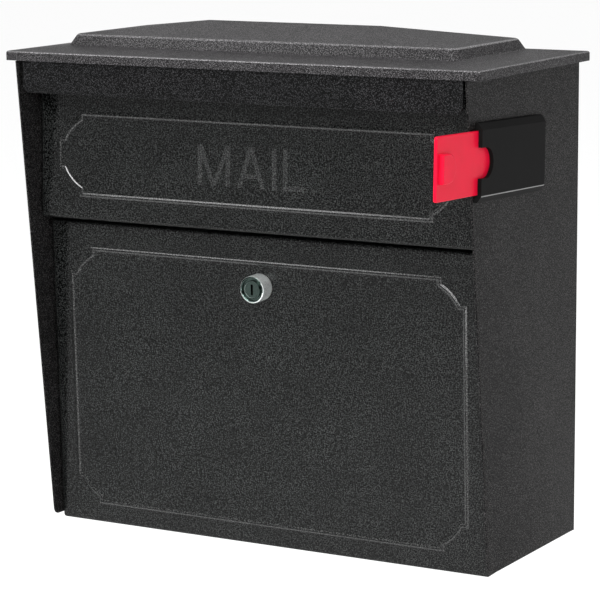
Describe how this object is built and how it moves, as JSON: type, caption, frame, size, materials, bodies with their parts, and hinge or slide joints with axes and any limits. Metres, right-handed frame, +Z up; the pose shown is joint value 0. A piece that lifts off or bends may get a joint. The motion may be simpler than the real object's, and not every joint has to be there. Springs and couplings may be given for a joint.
{
  "type": "wall mounted mailbox",
  "caption": "Locking steel wall mailbox with a hipped lid, slot door, locked access door and a sliding side flag.",
  "frame": {"origin": "middle of the four wall screw holes, on the back face that lies against the wall", "axes": "+Z up, +Y into the wall, so the doors face -Y; +X to the right of someone facing the doors"},
  "size_m": [0.4, 0.242, 0.394],
  "materials": {
    "case_coat": "hammered powder coat",
    "lid_coat": "hammered powder coat",
    "door_coat": "hammered powder coat",
    "zinc": "zinc plated",
    "lock_chrome": "bright",
    "wafer_brass": "stamped",
    "bumper_rubber": "matt",
    "flag_red": "moulded",
    "holder_black": "moulded"
  },
  "bodies": {
    "case": {"back_panel": "case_coat", "left_side_panel": "case_coat", "right_side_panel": "case_coat", "floor_panel": "case_coat", "top_panel": "case_coat", "front_valance": "case_coat", "cross_rail": "case_coat", "left_door_jamb": "case_coat", "right_door_jamb": "case_coat", "chute_baffle": "case_coat", "fish_comb": "case_coat", "slot_hinge_brackets": "case_coat", "access_hinge_brackets": "case_coat", "lid": "lid_coat", "lid_studs": "zinc", "lid_nuts": "zinc", "slot_hinge_rod": "zinc", "access_hinge_rod": "zinc", "flag_holder_screws": "zinc", "slot_door_bumpers": "bumper_rubber", "flag_holder": "holder_black"},
    "slot_door": {"slot_door_panel": "door_coat"},
    "access_door": {"access_door_panel": "door_coat", "lock_backing_plate": "case_coat", "lock_body": "lock_chrome", "lock_nut": "lock_chrome"},
    "lock_core": {"lock_plug": "lock_chrome", "lock_wafers": "wafer_brass", "lock_cam": "zinc", "cam_screw": "zinc"},
    "flag_slider": {"flag": "flag_red"}
  },
  "joints": [
    {"name": "slot_door_hinge", "type": "hinge", "parent": "case", "child": "slot_door", "pos_m": [0, -0.15446, 0.21951], "axis": [-1, 0, 0], "range_deg": [0, 54]},
    {"name": "access_door_hinge", "type": "hinge", "parent": "case", "child": "access_door", "pos_m": [0, -0.13732, -0.1233], "axis": [1, 0, 0], "range_deg": [0, 92]},
    {"name": "lock_turn", "type": "hinge", "parent": "access_door", "child": "lock_core", "pos_m": [0, -0.14978, 0.06737], "axis": [0, -0.9995, -0.0312], "range_deg": [0, 90]},
    {"name": "flag_slide", "type": "slide", "parent": "case", "child": "flag_slider", "axis": [0, 0.9993, -0.0366], "range_m": [0, 0.0575]}
  ]
}
